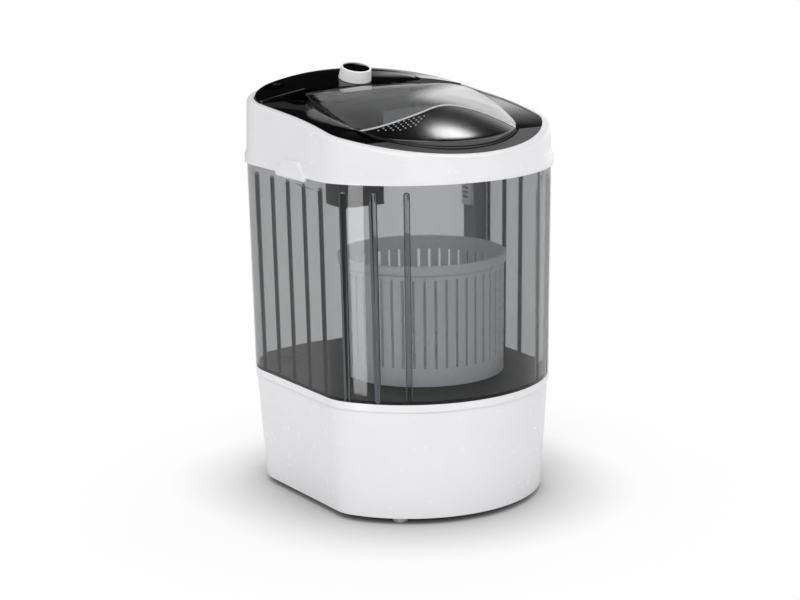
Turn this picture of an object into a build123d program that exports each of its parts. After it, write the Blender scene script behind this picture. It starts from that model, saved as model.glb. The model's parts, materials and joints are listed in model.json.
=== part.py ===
from build123d import *
import os
from math import atan, cos, degrees, pi, radians, sin, sqrt, tan

# Semi-automatic washing machine: smoky wash tub on a white base, lift-out spin basket, sloping top.
# Millimetres, +Z up, front towards -Y. The origin is the middle of the footprint, at the floor.

# Body outline, the same D shape at every height, drawn at the tub's top edge
half_width = 159.5  # at the middle of the depth
depth = 364.0
side_flare = 1.3  # degrees that each side opens towards the back
front_bulge = 14.5  # of the front arc's radius over the half width
back_radius = 400.0
front_corner = 58.0
back_corner = 78.0

# Heights
foot_height = 8.0
base_top = 151.0
collar_bottom = 412.0
tub_in_collar = 6.0
collar_front_height = 29.0  # from the collar's bottom edge to the rim line, at the front
collar_back_height = 92.0

# Clearances
running = 0.05  # radial, between a shaft and its bearing
slip = 0.3  # between pieces that slide or turn past each other
seat = 0.2  # around pieces that drop into a pocket or a hole

# Base
base_wall = 2.5
base_bottom_inset = 13.2
base_top_inset = 4.8
base_band_inset = 3.3
base_band_height = 9.0
base_lip = 12.0
base_lip_thickness = 3.0
plate_thickness = 3.0
plate_ledge = 7.0
vent_length = 46.0
vent_width = 5.0
foot_top_radius = 11.5
foot_bottom_radius = 9.0
front_foot_inset = (71.5, 61.0)  # from the side and from the front
rear_foot_inset = (47.5, 64.0)  # from the side and from the back
foot_screw_radius = 2.0
tie_inset = 37.5  # from the side
front_tie_inset = 142.0  # from the front
rear_tie_inset = 98.0  # from the back
tie_radius = 2.5
service_margin = (20.0, 20.0)  # of the service panel, past the spout's axis and the cord bush's
service_bottom = 26.0
service_height = 76.0
service_frame = 7.0  # width of the frame behind its edge
service_frame_depth = 2.0
service_screw_x = 60.0
service_screw_inset = 7.0  # from its top and bottom edges
spotface_depth = 0.8

# Tub
tub_wall = 2.6
tub_bottom_inset = 3.3
tub_floor = 4.0
rib_radius = 3.8
rib_sink = 0.7  # how far a rib's axis lies inside the wall
rib_pitch = 37.5
rib_from_back = 94.0  # of the rearmost rib on each side
ribs_each_side = 8
rib_gap = 18.0  # from a rib's end to the tub's top edge
boss_radius = 8.0
tub_hub_radius = 24.0
tub_hub_drop = 8.0

# Drive train
drive_from_front = 148.0
belt_span = 112.0  # between the two shafts
shaft_radius = 6.0
shaft_bottom = 14.0
bearing_radius = 16.0
bearing_height = 10.0
bearing_span = 65.0  # from the chassis down to the housing's lower end
housing_radius = 22.0
flange_radius = 42.0
flange_thickness = 5.0
chassis_drop = 20.0  # under the tub
chassis_thickness = 3.0
chassis_half = 76.0
chassis_overhang = (84.0, 66.0)  # in front of the drive shaft and behind the motor's
chassis_inset = 14.0
motor_radius = 46.0
motor_height = 62.0
motor_wall = 2.5
motor_ear_reach = 7.0  # from the can to a screw's centre
stator_bore = 26.0
stator_height = 30.0
motor_shaft_radius = 5.0
motor_pulley_radius = 16.0
drive_pulley_radius = 64.0
pulley_bottom = 22.0
pulley_width = 12.0
groove_depth = 6.0
belt_width = 8.0
belt_thickness = 5.0
pulsator_radius = 84.0
pulsator_gap = 4.0  # over the tub's floor
pulsator_thickness = 4.0
fin_count = 6
fin_height = 8.0
hub_flats = 26.0
hub_height = 29.0
capacitor_offset = (56.0, 38.0)  # from the drive shaft
capacitor_radius = 17.0
capacitor_height = 58.0

# Basket
basket_wall = 2.4
basket_gap = 5.0  # over the tub's floor
basket_height = 147.0
basket_bottom_radius = 99.7
basket_top_radius = 101.4
basket_band_height = 12.0
basket_band_radius = 104.0
basket_band_roof = 2.0  # thickness of the rim over the wall's top edge
basket_floor_rise = 18.0
basket_floor_thickness = 3.0
basket_hub_radius = 19.0
slot_count = 48
slot_width = 3.4
slot_low = 22.0
slot_high = 130.0
drain_holes = 24

# Collar, panel and console
collar_wall = 2.6
band_height = 9.0
band_slope = 7.0  # height over which the band runs out above that
band_proud = 2.6
collar_draft = 2.0
rim_round = 5.0
panel_inset = 11.0
panel_drop = 1.5
panel_thickness = 3.0
ledge_width = 6.0
ledge_thickness = 2.5
grip_half = 44.0
grip_y = -2.0
grip_drop = 5.5
grip_rise = 17.0
grip_proud = 4.4
grip_round = 3.2
grip_slope = 42.0
console_rise = 9.0  # of its top over the rim's back, at the middle of its rear edge
console_arch = 640.0  # radius of its top, seen from the front
console_slope = 5.5  # of its top, down towards the front
console_gap = 0.4  # behind the hinge barrel
console_corner = 5.0  # of its front corners, from above
console_side_gap = 1.0  # between its outline and the panel's edge
console_wall = 3.0
console_round = 1.2
knob_tilt = 15.0
knob_seat_margin = 2.0  # of the round seat under the knob
fascia_half = 84.0  # half the width of the deck's tilted front, round the knob
window_half = 30.0
window_reach = (13.0, 25.0)  # in front of the knob's axis and behind it
step_from_front = 70.0
step_height = 0.4

# Lid
lid_wall = 2.5
lid_rear_from_back = 94.0
lid_rear_inset = 12.0  # of its rear corners, from the basket's side
lid_side_margin = 10.0  # past the basket, where the lid is widest
lid_front_margin = 12.0
lid_widest = 24.0  # behind the drive shaft
lid_shoulder_offset = (-3.0, -58.0)  # from the basket's side and the drive shaft
lid_rear_corner = 16.0
lid_front_corner = 40.0
lid_arches = [  # y behind the drive shaft, crown under the rim's back, and fall from crown to side
    (134.0, 6.6, 5.6),
    (84.0, 3.7, 5.7),
    (34.0, 6.1, 10.6),
    (-16.0, 14.0, 17.4),
    (-66.0, 27.0, 22.0),
    (-126.0, 52.0, 30.0),
]
lid_gap = 0.5
lid_edge_round = 2.4
lip_reach = 3.0
lip_thickness = 1.8
mouth_inset = 7.0
mouth_skirt = 14.0
trim_proud = 0.6
trim_width = 2.4
swoosh = [(-122, -28), (-70, -50), (-20, -42), (25, -30), (55, -48), (78, -74), (112, -96)]
hinge_reach = 7.0  # behind the lid
hinge_lift = 9.0
hinge_pin_radius = 1.5
hinge_barrel = 4.0
hinge_ear = 4.0
tab_half = 17.0
pip_radius = 1.1
pip_pitch = 7.0
pip_row = 5.0
pip_columns = 10
pip_start = (-90.0, -54.0)  # from the drive shaft, as the points above are
pip_height = 0.5

# Timer
knob_behind_hinge = 26.0
knob_lift = 0.0  # from the height of the rim's back, where its axis leaves the console
knob_bottom_radius = 21.0
knob_top_radius = 19.3
knob_height = 15.5
knob_wall = 2.6
knob_rim = 2.0  # thickness of its wall round the cap
knob_web = 3.0
knob_dish = 3.0
knob_boss_radius = 6.0
spindle_radius = 3.0
spindle_grip = 8.5  # length of the spindle inside the knob
spindle_depth = 11.5  # length of the spindle inside the movement
movement_size = (46.0, 30.0, 28.0)
movement_flange = (62.0, 20.0, 2.0)
movement_screw_radius = 1.4
timer_box_half = 33.0
timer_box_reach = (17.0, 39.0)  # in front of the knob's axis and behind it
timer_box_drop = 70.0  # below the collar's bottom edge
timer_box_wall = 2.5

# Fittings
inlet_inset = (51.5, 47.0)  # from the left side and from the back
inlet_bore = 5.0
inlet_radius = 7.0
inlet_length = 62.0
inlet_recess = 10.5
inlet_margin = 3.0  # of the round clearing in the console, past the recess
inlet_cup = 12.0
inlet_cup_depth = 14.0
duct_width = 26.0
duct_depth = 17.0
duct_drop = 18.0  # from the collar's bottom edge to its top
duct_wall = 2.0
duct_inlet = 24.0
filter_size = (6.0, 20.0, 44.0)
filter_drop = 14.0
drain_inset = (55.5, 70.0)  # from the left side and from the back
sump_radius = 15.0
sump_wall = 3.0
sump_bottom = 38.0
spout_z = 52.0
spout_radius = 10.0
spout_neck = 9.0
spout_nose = 18.0  # length of the full-size end that the hose grips
spout_bore = 7.5
spout_past_back = 1.0  # of its end, past the back of the body
gland_inset = (73.5, 22.0)  # from the right side and from the back
gland_z = 46.0
gland_radius = 8.0
gland_bore = 3.5

front_radius = half_width + front_bulge
middle = depth / 2
above = collar_back_height + 30  # from the collar's bottom edge to a height above everything
side_plane = Plane.YZ.offset(-middle - 20)  # where side views are drawn, left of the whole body
front_centre = -middle + front_radius
back_centre = middle - back_radius
tub_top = collar_bottom + tub_in_collar
plate_top = foot_height + plate_thickness
rim_front = collar_bottom + collar_front_height
rim_back = collar_bottom + collar_back_height
chassis_top = base_top - chassis_drop
bearing_bottom = chassis_top - bearing_span
pulsator_bottom = base_top + tub_floor + pulsator_gap
basket_bottom = base_top + tub_floor + basket_gap

# Places
drive_y = -middle + drive_from_front
motor_y = drive_y + belt_span
foot_places = {
    "front": (half_width - front_foot_inset[0], -middle + front_foot_inset[1]),
    "rear": (half_width - rear_foot_inset[0], middle - rear_foot_inset[1]),
}
tie_x = half_width - tie_inset
tie_places = [(side * tie_x, y) for y in (-middle + front_tie_inset, middle - rear_tie_inset) for side in (-1, 1)]
drain_x, drain_y = -half_width + drain_inset[0], middle - drain_inset[1]
inlet_x, inlet_y = -half_width + inlet_inset[0], middle - inlet_inset[1]
gland_x, gland_y = half_width - gland_inset[0], middle - gland_inset[1]
lid_rear = middle - lid_rear_from_back
lid_front = drive_y - basket_band_radius - lid_front_margin
lid_half = basket_band_radius + lid_side_margin
lid_rear_half = basket_band_radius - lid_rear_inset
lid_shoulder = (basket_band_radius + lid_shoulder_offset[0], drive_y + lid_shoulder_offset[1])
hinge_y = lid_rear + hinge_reach
knob_y = hinge_y + knob_behind_hinge
knob_z = rim_back + knob_lift
console_front = hinge_y + hinge_barrel + console_gap
rib_first = middle - rib_from_back


def side_x(y):
    """Half width of the body at y, before its corners are rounded."""
    return half_width + y * tan(radians(side_flare))


def meet_side(centre, radius, towards):
    """The y where a side line meets the front or the back arc."""
    y = centre
    for _ in range(40):
        y = centre + towards * sqrt(radius**2 - side_x(y) ** 2)
    return y


def footprint(inset, z):
    """The body's outline at height z, moved inwards by inset."""
    front_y = meet_side(front_centre, front_radius, -1)
    back_y = meet_side(back_centre, back_radius, 1)
    front_x, back_x = side_x(front_y), side_x(back_y)
    with BuildSketch(Plane.XY.offset(z)) as plan:
        with BuildLine():
            ThreePointArc((-front_x, front_y), (0, -middle), (front_x, front_y))
            Line((front_x, front_y), (back_x, back_y))
            ThreePointArc((back_x, back_y), (0, middle), (-back_x, back_y))
            Line((-back_x, back_y), (-front_x, front_y))
        make_face()
        fillet(plan.vertices().group_by(Axis.Y)[0], front_corner)
        fillet(plan.vertices().group_by(Axis.Y)[-1], back_corner)
        if inset:
            offset(amount=-inset, kind=Kind.ARC)
    return plan.sketch


rim_points = [
    (-middle - 8, rim_front - 2.2),
    (-0.65 * middle, rim_front + 16.0),
    (-0.1 * middle, rim_front + 35.0),
    (0.3 * middle, rim_front + 42.0),
    (0.62 * middle, rim_front + 47.5),
    (middle + 8, rim_back + 3.0),
]


def under_rim(drop):
    """The side view's region below the rim line, lowered by drop."""
    with BuildSketch(side_plane) as region:
        with BuildLine():
            curve = Spline([(y, z - drop) for y, z in rim_points])
            Polyline(curve @ 1, (middle + 8, 0), (-middle - 8, 0), curve @ 0)
        make_face()
    return region.sketch


def rim_height(place):
    """Height of the rim line where y is place."""
    curve = Spline([(0, y, z) for y, z in rim_points])
    low, high = 0.0, 1.0
    for _ in range(40):
        half = (low + high) / 2
        if (curve @ half).Y < place:
            low = half
        else:
            high = half
    return (curve @ low).Z


def lid_outline(inset, z):
    """The lid's outline at height z, moved inwards by inset."""
    shoulder_x, shoulder_y = lid_shoulder
    with BuildSketch(Plane.XY.offset(z)) as plan:
        with BuildLine():
            Line((-lid_rear_half, lid_rear), (lid_rear_half, lid_rear))
            ThreePointArc((lid_rear_half, lid_rear), (lid_half, drive_y + lid_widest), lid_shoulder)
            ThreePointArc(lid_shoulder, (0, lid_front), (-shoulder_x, shoulder_y))
            ThreePointArc((-shoulder_x, shoulder_y), (-lid_half, drive_y + lid_widest), (-lid_rear_half, lid_rear))
        make_face()
        fillet(plan.vertices().group_by(Axis.Y)[0], lid_front_corner)
        fillet(plan.vertices().group_by(Axis.Y)[-1], lid_rear_corner)
        if inset:
            offset(amount=-inset, kind=Kind.ARC)
    return plan.sketch


def across(sketch, mode):
    """Sweep a side-view region over the whole width."""
    extrude(sketch, amount=2 * middle + 40, mode=mode)


def disc(x, y, radius, z, height, mode=Mode.ADD):
    """A vertical cylinder standing on height z."""
    with Locations((x, y, z)):
        Cylinder(radius, height, align=(Align.CENTER, Align.CENTER, Align.MIN), mode=mode)


def bar(low, high, mode=Mode.ADD):
    """A box between two opposite corners."""
    with Locations(tuple((a + b) / 2 for a, b in zip(low, high))):
        Box(*[b - a for a, b in zip(low, high)], mode=mode)


def pan_screw(x, y, seat_z, length, radius, up=True):
    """A screw whose head bears at seat_z, with its shank going up or down from there."""
    head = 1.2 * radius
    disc(x, y, radius, seat_z if up else seat_z - length, length)
    disc(x, y, 2 * radius, seat_z - head if up else seat_z, head)


def facing_back(y):
    """The upright plane at y, for pieces that run from front to back."""
    return Plane.XZ.offset(-y)


def hexagon(x, y, z, flats, height, mode=Mode.ADD):
    """A hexagonal prism, measured across its flats."""
    with BuildSketch(Plane.XY.offset(z)) as section:
        with Locations((x, y)):
            RegularPolygon(flats / 2, 6, major_radius=False)
    extrude(section.sketch, amount=height, mode=mode)


def save(builder, name):
    """Label the finished piece and write it."""
    builder.part.label = name
    export_step(builder.part, f"parts/{name}.step")


os.makedirs("parts", exist_ok=True)

# Base housing: a drafted white shell with a proud band at its top
body_height = base_top - base_band_height - foot_height
base_draft = degrees(atan((base_bottom_inset - base_top_inset) / body_height))


def base_form(grow, mode=Mode.ADD):
    """The base's drafted outer form, grown outwards."""
    outline = footprint(base_bottom_inset - grow, foot_height)
    extrude(outline, amount=body_height, taper=-base_draft, mode=mode)


def service_window(grow, mode):
    """A block through the back of the base, the service panel's size grown all round."""
    low = (drain_x - service_margin[0] - grow, drain_y, service_bottom - grow)
    high = (gland_x + service_margin[1] + grow, middle, service_bottom + service_height + grow)
    bar(low, high, mode)


def base_back(x, z):
    """Where the back of the base stands, at this place away from its corners."""
    inset = base_bottom_inset - (z - foot_height) * tan(radians(base_draft))
    return back_centre + sqrt((back_radius - inset) ** 2 - x**2)


def along_y(x, z, radius, start, length, mode=Mode.ADD):
    """A cylinder along Y from start, towards the front where its length is negative."""
    with Locations(facing_back(start + length / 2)):
        with Locations((x, z)):
            Cylinder(radius, abs(length), mode=mode)


service_rows = (service_bottom + service_screw_inset, service_bottom + service_height - service_screw_inset)
service_screw_places = [
    (side * service_screw_x, base_back(service_screw_x, z) - spotface_depth, z)
    for z in service_rows
    for side in (-1, 1)
]
with BuildPart() as panel_frame:
    base_form(-base_wall)
    base_form(-base_wall - service_frame_depth, Mode.SUBTRACT)
    service_window(service_frame / 2, Mode.INTERSECT)
    service_window(-service_frame, Mode.SUBTRACT)
    for x, seat_y, z in service_screw_places:
        along_y(x, z, 2 * foot_screw_radius + 1.5, seat_y - base_wall + spotface_depth - 1, -4)
    base_form(-base_wall, Mode.INTERSECT)
    for x, seat_y, z in service_screw_places:
        along_y(x, z, foot_screw_radius + seat / 2, seat_y, -20, Mode.SUBTRACT)
with BuildPart() as base_housing:
    base_form(0)
    extrude(footprint(base_band_inset, base_top - base_band_height), amount=base_band_height)
    base_form(-base_wall, Mode.SUBTRACT)
    band_inside = footprint(base_top_inset + base_wall, base_top - base_band_height)
    extrude(band_inside, amount=base_band_height - base_lip_thickness, mode=Mode.SUBTRACT)
    lip_inside = footprint(base_band_inset + base_lip, base_top - base_lip_thickness)
    extrude(lip_inside, amount=base_lip_thickness, mode=Mode.SUBTRACT)
    ledge = footprint(base_bottom_inset + base_wall / 2, plate_top)
    ledge_hole = footprint(base_bottom_inset + base_wall + plate_ledge, plate_top)
    extrude(ledge, amount=plate_thickness)
    extrude(ledge_hole, amount=plate_thickness, mode=Mode.SUBTRACT)
    service_window(0, Mode.SUBTRACT)
    add(panel_frame.part)
save(base_housing, "base_housing")

# Service panel that closes the back of the base, with the holes for the spout and the cord bush
with BuildPart() as service_panel:
    base_form(0)
    base_form(-base_wall, Mode.SUBTRACT)
    service_window(-seat, Mode.INTERSECT)
    with Locations(facing_back(middle)):
        with Locations((drain_x, spout_z)):
            Cylinder(spout_radius + slip, 80, mode=Mode.SUBTRACT)
        with Locations((gland_x, gland_z)):
            Cylinder(gland_radius + seat, 80, mode=Mode.SUBTRACT)
    for x, seat_y, z in service_screw_places:
        along_y(x, z, foot_screw_radius + seat, seat_y, -20, Mode.SUBTRACT)
        along_y(x, z, 2 * foot_screw_radius + seat, seat_y, 20, Mode.SUBTRACT)
save(service_panel, "service_panel")
with BuildPart() as service_screws:
    for x, seat_y, z in service_screw_places:
        along_y(x, z, foot_screw_radius, seat_y, -9)
        along_y(x, z, 2 * foot_screw_radius, seat_y, 1.2 * foot_screw_radius)
save(service_screws, "service_screws")

# Bottom plate with its vents and screw bosses
all_feet = [(side * x, y) for x, y in foot_places.values() for side in (-1, 1)]
with BuildPart() as bottom_plate:
    extrude(footprint(base_bottom_inset + base_wall + seat, foot_height), amount=plate_thickness)
    for x, y in all_feet:
        disc(x, y, 3 * foot_screw_radius, plate_top, 8)
        disc(x, y, foot_screw_radius + seat / 2, foot_height, plate_thickness + 7, Mode.SUBTRACT)
    for x, y in tie_places:
        disc(x, y, tie_radius + seat, foot_height, plate_thickness, Mode.SUBTRACT)
    with BuildSketch(Plane.XY.offset(foot_height)):
        with GridLocations(vent_length + 12, 3 * vent_width, 3, 12):
            SlotOverall(vent_length, vent_width)
    extrude(amount=plate_thickness, mode=Mode.SUBTRACT)
save(bottom_plate, "bottom_plate")

# Feet and their screws
foot_pocket = foot_height - 3
for place, (x, y) in foot_places.items():
    for side, hand in ((-1, "left"), (1, "right")):
        with BuildPart() as foot:
            with Locations((side * x, y, 0)):
                Cone(foot_bottom_radius, foot_top_radius, foot_height, align=(Align.CENTER, Align.CENTER, Align.MIN))
            disc(side * x, y, 2 * foot_screw_radius + 1, 0, foot_pocket, Mode.SUBTRACT)
            disc(side * x, y, foot_screw_radius + seat / 2, 0, foot_height, Mode.SUBTRACT)
            fillet(foot.edges().group_by(Axis.Z)[0].sort_by(SortBy.LENGTH)[-1:], 1)
        save(foot, f"foot_{place}_{hand}")
with BuildPart() as foot_screws:
    for x, y in all_feet:
        pan_screw(x, y, foot_pocket, 12, foot_screw_radius)
save(foot_screws, "foot_screws")

# Wash tub: drafted smoky shell with vertical ribs, a drain hole and bosses under its floor
tub_height = tub_top - base_top
tub_draft = degrees(atan(tub_bottom_inset / tub_height))
cavity_z = base_top + tub_floor
cavity_height = tub_top - cavity_z


def tub_cavity(mode):
    """The drafted space inside the tub."""
    extrude(footprint(tub_bottom_inset + tub_wall, cavity_z), amount=cavity_height, taper=-tub_draft, mode=mode)


def rib_places():
    """Foot of each rib on the right half, along the inner wall from the back to the front."""
    wall = footprint(tub_bottom_inset + tub_wall - rib_sink, cavity_z).face().outer_wire()
    side = wall.edges().filter_by(GeomType.LINE).sort_by(Axis.X)[-1]
    low, high = side.bounding_box().min.Y, side.bounding_box().max.Y
    along = (rib_first - low) / (high - low)
    first = side @ (along if (side @ 1).Y > (side @ 0).Y else 1 - along)
    start = wall.param_at_point(first)
    step = rib_pitch / wall.length
    if (wall @ ((start + step) % 1)).Y > rib_first:
        step = -step
    return [wall @ ((start + i * step) % 1) for i in range(ribs_each_side)]


chassis_front = drive_y - chassis_overhang[0]
chassis_back = motor_y + chassis_overhang[1]
chassis_corners = [
    (side * (chassis_half - chassis_inset), y)
    for y in (chassis_front + chassis_inset, chassis_back - chassis_inset)
    for side in (-1, 1)
]
rib_length = cavity_height - rib_gap
with BuildPart() as wash_tub:
    extrude(footprint(tub_bottom_inset, base_top), amount=tub_height, taper=-tub_draft)
    tub_cavity(Mode.SUBTRACT)
    for place in rib_places():
        for side in (-1, 1):
            foot_point = Vector(side * place.X, place.Y, cavity_z)
            lean = Vector(foot_point.X, foot_point.Y, 0).normalized() * tub_bottom_inset
            leaning = (lean + Vector(0, 0, tub_height)).normalized()
            with BuildSketch(Plane(foot_point)) as rib_section:
                Circle(rib_radius)
            extrude(rib_section.sketch, amount=rib_length, dir=leaning)
            with Locations(foot_point + leaning * rib_length):
                Sphere(rib_radius)
    extrude(footprint(tub_bottom_inset, base_top), amount=tub_height, taper=-tub_draft, mode=Mode.INTERSECT)
    disc(0, drive_y, tub_hub_radius, base_top - tub_hub_drop, tub_hub_drop)
    disc(0, drive_y, bearing_radius - 2, base_top - tub_hub_drop, 40, Mode.SUBTRACT)
    for x, y in chassis_corners + tie_places:
        disc(x, y, boss_radius, chassis_top, base_top - chassis_top)
    for x, y in chassis_corners:
        disc(x, y, foot_screw_radius + seat / 2, chassis_top, 16, Mode.SUBTRACT)
    for x, y in tie_places:
        disc(x, y, tie_radius + seat / 2, chassis_top, 18, Mode.SUBTRACT)
    disc(drain_x, drain_y, sump_radius - sump_wall, base_top, tub_floor, Mode.SUBTRACT)
save(wash_tub, "wash_tub")

# Long bolts that clamp the base between the bottom plate and the tub
with BuildPart() as tie_bolts:
    for x, y in tie_places:
        pan_screw(x, y, foot_height, chassis_top + 16 - foot_height, tie_radius)
save(tie_bolts, "tie_bolts")

# Steel chassis plate under the tub, with the bearing housing and the motor
chassis_low = chassis_top - chassis_thickness
motor_low = chassis_low - motor_height
motor_ear = motor_radius + motor_ear_reach
motor_ears = [(motor_ear * cos(a), motor_y + motor_ear * sin(a)) for a in (pi / 4, 3 * pi / 4, 5 * pi / 4, 7 * pi / 4)]
flange_screw_places = [(32 * cos(a), drive_y + 32 * sin(a)) for a in (0, pi / 2, pi, 3 * pi / 2)]
with BuildPart() as chassis_plate:
    bar((-chassis_half, chassis_front, chassis_low), (chassis_half, chassis_back, chassis_top))
    fillet(chassis_plate.edges().filter_by(Axis.Z), 10)
    for x, y in chassis_corners + motor_ears + flange_screw_places:
        disc(x, y, foot_screw_radius + seat, chassis_low, chassis_thickness, Mode.SUBTRACT)
    disc(0, drive_y, housing_radius + seat, chassis_low, chassis_thickness, Mode.SUBTRACT)
save(chassis_plate, "chassis_plate")
with BuildPart() as chassis_screws:
    for x, y in chassis_corners:
        pan_screw(x, y, chassis_low, chassis_thickness + 14, foot_screw_radius)
save(chassis_screws, "chassis_screws")

upper_bearing_z = chassis_top + flange_thickness - bearing_height - 2
with BuildPart() as bearing_housing:
    disc(0, drive_y, flange_radius, chassis_top, flange_thickness)
    disc(0, drive_y, housing_radius, bearing_bottom, chassis_top - bearing_bottom)
    disc(0, drive_y, bearing_radius - 3, bearing_bottom, 90, Mode.SUBTRACT)
    disc(0, drive_y, bearing_radius, bearing_bottom, bearing_height, Mode.SUBTRACT)
    disc(0, drive_y, bearing_radius, upper_bearing_z, 40, Mode.SUBTRACT)
    for x, y in flange_screw_places:
        disc(x, y, foot_screw_radius + seat, chassis_top, flange_thickness, Mode.SUBTRACT)
save(bearing_housing, "bearing_housing")
with BuildPart() as bearing_screws:
    for x, y in flange_screw_places:
        pan_screw(x, y, chassis_low, chassis_thickness + flange_thickness + 1, foot_screw_radius)
save(bearing_screws, "bearing_screws")
for name, z in (("lower_bearing", bearing_bottom), ("upper_bearing", upper_bearing_z)):
    with BuildPart() as bearing:
        disc(0, drive_y, bearing_radius - 0.02, z, bearing_height)
        disc(0, drive_y, shaft_radius + running, z, bearing_height, Mode.SUBTRACT)
    save(bearing, name)
with BuildPart() as shaft_seal:
    disc(0, drive_y, bearing_radius - 2, base_top - tub_hub_drop + 1, tub_hub_drop + tub_floor)
    disc(0, drive_y, shaft_radius + running, base_top - tub_hub_drop + 1, 40, Mode.SUBTRACT)
save(shaft_seal, "shaft_seal")

# Motor: pressed steel can, stator, rotor on its shaft, end cap and bushes
bush_radius = motor_shaft_radius + 3
bush_height = 10.0
with BuildPart() as motor_can:
    disc(0, motor_y, motor_radius, motor_low, motor_height - 3)
    for x, y in motor_ears:
        disc(x, y, 6, chassis_low - 6, 3)
    with BuildSketch(Plane.XY.offset(chassis_low - 6)) as ear_arms:
        with Locations((0, motor_y)):
            Rectangle(2 * motor_ear, 12, rotation=45)
            Rectangle(2 * motor_ear, 12, rotation=-45)
    extrude(ear_arms.sketch, amount=3)
    disc(0, motor_y, motor_radius - motor_wall, motor_low + motor_wall, motor_height, Mode.SUBTRACT)
    disc(0, motor_y, bush_radius + 3, motor_low + motor_wall, bush_height - motor_wall)
    disc(0, motor_y, bush_radius, motor_low, bush_height, Mode.SUBTRACT)
    for x, y in motor_ears:
        disc(x, y, foot_screw_radius + seat, chassis_low - 6, 3, Mode.SUBTRACT)
save(motor_can, "motor_can")
with BuildPart() as motor_end_cap:
    disc(0, motor_y, motor_ear + 6, chassis_low - 3, 3)
    disc(0, motor_y, bush_radius + 3, chassis_low - 3 - bush_height, bush_height)
    disc(0, motor_y, bush_radius, chassis_low - 3 - bush_height, bush_height + 3, Mode.SUBTRACT)
    for x, y in motor_ears:
        disc(x, y, foot_screw_radius + seat, chassis_low - 3, 3, Mode.SUBTRACT)
save(motor_end_cap, "motor_end_cap")
with BuildPart() as motor_bushes:
    for z in (motor_low, chassis_low - 3 - bush_height):
        disc(0, motor_y, bush_radius - 0.02, z, bush_height)
        disc(0, motor_y, motor_shaft_radius + running, z, bush_height, Mode.SUBTRACT)
save(motor_bushes, "motor_bushes")
with BuildPart() as motor_screws:
    for x, y in motor_ears:
        pan_screw(x, y, chassis_top, chassis_thickness + 8, foot_screw_radius, up=False)
save(motor_screws, "motor_screws")
stator_low = motor_low + 15
with BuildPart() as motor_stator:
    disc(0, motor_y, motor_radius - motor_wall, stator_low, stator_height)
    disc(0, motor_y, stator_bore, stator_low, stator_height, Mode.SUBTRACT)
save(motor_stator, "motor_stator")
with BuildPart() as motor_rotor:
    disc(0, motor_y, stator_bore - slip, stator_low, stator_height)
    disc(0, motor_y, motor_shaft_radius, stator_low, stator_height, Mode.SUBTRACT)
save(motor_rotor, "motor_rotor")
with BuildPart() as motor_shaft:
    disc(0, motor_y, motor_shaft_radius, pulley_bottom, chassis_low - 1 - pulley_bottom)
save(motor_shaft, "motor_shaft")


def pulley(y, radius, bore):
    """A grooved pulley with its hub."""
    flank = (pulley_width - belt_width - 2 * slip) / 2
    with BuildSketch(Plane.XZ.offset(-y)) as profile:
        with BuildLine():
            Polyline(
                (bore, pulley_bottom),
                (radius, pulley_bottom),
                (radius, pulley_bottom + flank - 1),
                (radius - groove_depth, pulley_bottom + flank),
                (radius - groove_depth, pulley_bottom + pulley_width - flank),
                (radius, pulley_bottom + pulley_width - flank + 1),
                (radius, pulley_bottom + pulley_width),
                (bore, pulley_bottom + pulley_width),
                close=True,
            )
        make_face()
    revolve(profile.sketch, axis=Axis((0, y, 0), (0, 0, 1)))


with BuildPart() as motor_pulley:
    pulley(motor_y, motor_pulley_radius, motor_shaft_radius)
save(motor_pulley, "motor_pulley")
with BuildPart() as drive_pulley:
    pulley(drive_y, drive_pulley_radius, shaft_radius)
    with Locations((0, drive_y, pulley_bottom)):
        with PolarLocations(36, 6):
            Cylinder(12, 60, mode=Mode.SUBTRACT)
save(drive_pulley, "drive_pulley")


def belt_path(outside):
    """The loop round both pulleys, this far outside the bottom of their grooves."""
    with BuildSketch(Plane.XY.offset(pulley_bottom + (pulley_width - belt_width) / 2)) as loop:
        with Locations((0, drive_y)):
            Circle(drive_pulley_radius - groove_depth + outside)
        with Locations((0, motor_y)):
            Circle(motor_pulley_radius - groove_depth + outside)
        make_hull()
    return loop.sketch


with BuildPart() as drive_belt:
    extrude(belt_path(slip + belt_thickness), amount=belt_width)
    extrude(belt_path(slip), amount=belt_width, mode=Mode.SUBTRACT)
save(drive_belt, "drive_belt")

# Vertical drive shaft, its nut, and the pulsator that it turns
hub_top = pulsator_bottom + hub_height
with BuildPart() as drive_shaft:
    disc(0, drive_y, shaft_radius, shaft_bottom, hub_top - 8 - shaft_bottom)
    disc(0, drive_y, foot_screw_radius, hub_top - 8 - 14, 14, Mode.SUBTRACT)
save(drive_shaft, "drive_shaft")
with BuildPart() as pulley_nut:
    hexagon(0, drive_y, pulley_bottom - 6, 18, 6)
    disc(0, drive_y, shaft_radius, pulley_bottom - 6, 6, Mode.SUBTRACT)
save(pulley_nut, "pulley_nut")
with BuildPart() as pulsator:
    disc(0, drive_y, pulsator_radius, pulsator_bottom, pulsator_thickness)
    fillet(pulsator.edges().group_by(Axis.Z)[-1], 2)
    with Locations((0, drive_y, pulsator_bottom + pulsator_thickness)):
        Cone(34, 20, fin_height, align=(Align.CENTER, Align.CENTER, Align.MIN))
        with PolarLocations(pulsator_radius / 2, fin_count):
            Box(pulsator_radius - 16, 5, fin_height, align=(Align.CENTER, Align.CENTER, Align.MIN))
    hexagon(0, drive_y, pulsator_bottom, hub_flats, hub_height)
    disc(0, drive_y, shaft_radius, pulsator_bottom, hub_height - 8, Mode.SUBTRACT)
    disc(0, drive_y, 8, hub_top - 4, 4, Mode.SUBTRACT)
    disc(0, drive_y, foot_screw_radius, hub_top - 8, 8, Mode.SUBTRACT)
save(pulsator, "pulsator")
with BuildPart() as pulsator_screw:
    pan_screw(0, drive_y, hub_top - 4, 16, foot_screw_radius, up=False)
save(pulsator_screw, "pulsator_screw")

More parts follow.
